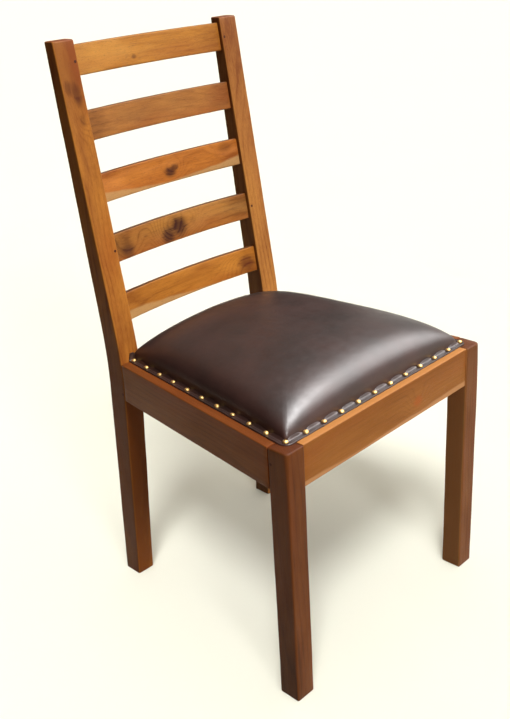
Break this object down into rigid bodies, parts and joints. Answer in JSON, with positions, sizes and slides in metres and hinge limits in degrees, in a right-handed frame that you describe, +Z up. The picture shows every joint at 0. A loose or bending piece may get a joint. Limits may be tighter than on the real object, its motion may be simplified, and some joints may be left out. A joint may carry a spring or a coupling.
{
  "type": "slat back dining chair",
  "caption": "Hardwood side chair with raked rear posts, bowed slats tenoned and pinned between them, and a padded leather seat held to the rails by domed brass nails",
  "frame": {"origin": "on the floor, under the middle of the whole chair's box", "axes": "+Z up, the seat faces -Y, and +X is to the right of someone looking at the chair's front"},
  "size_m": [0.488, 0.5262, 0.974],
  "materials": {
    "hardwood": "satin",
    "softwood": "matte",
    "plywood": "matte",
    "foam": "matte",
    "leather": "satin",
    "brass": "polished"
  },
  "bodies": {
    "root": {"front_leg_left": "hardwood", "front_leg_right": "hardwood", "rear_post_left": "hardwood", "rear_post_right": "hardwood", "side_rail_left": "hardwood", "side_rail_right": "hardwood", "front_rail": "hardwood", "back_rail": "hardwood", "slat_1": "hardwood", "slat_2": "hardwood", "slat_3": "hardwood", "slat_4": "hardwood", "slat_5": "hardwood", "front_block_left": "softwood", "front_block_right": "softwood", "rear_block_left": "softwood", "rear_block_right": "softwood", "seat_board": "plywood", "seat_foam": "foam", "seat_leather": "leather", "nail_front_01": "brass", "nail_front_02": "brass", "nail_front_03": "brass", "nail_front_04": "brass", "nail_front_05": "brass", "nail_front_06": "brass", "nail_front_07": "brass", "nail_front_08": "brass", "nail_front_09": "brass", "nail_front_10": "brass", "nail_front_11": "brass", "nail_front_12": "brass", "nail_left_01": "brass", "nail_left_02": "brass", "nail_left_03": "brass", "nail_left_04": "brass", "nail_left_05": "brass", "nail_left_06": "brass", "nail_left_07": "brass", "nail_left_08": "brass", "nail_left_09": "brass", "nail_left_10": "brass", "nail_right_01": "brass", "nail_right_02": "brass", "nail_right_03": "brass", "nail_right_04": "brass", "nail_right_05": "brass", "nail_right_06": "brass", "nail_right_07": "brass", "nail_right_08": "brass", "nail_right_09": "brass", "nail_right_10": "brass", "nail_back_01": "brass", "nail_back_02": "brass", "nail_back_03": "brass", "nail_back_04": "brass", "nail_back_05": "brass", "nail_back_06": "brass", "nail_back_07": "brass", "nail_back_08": "brass"}
  },
  "joints": []
}
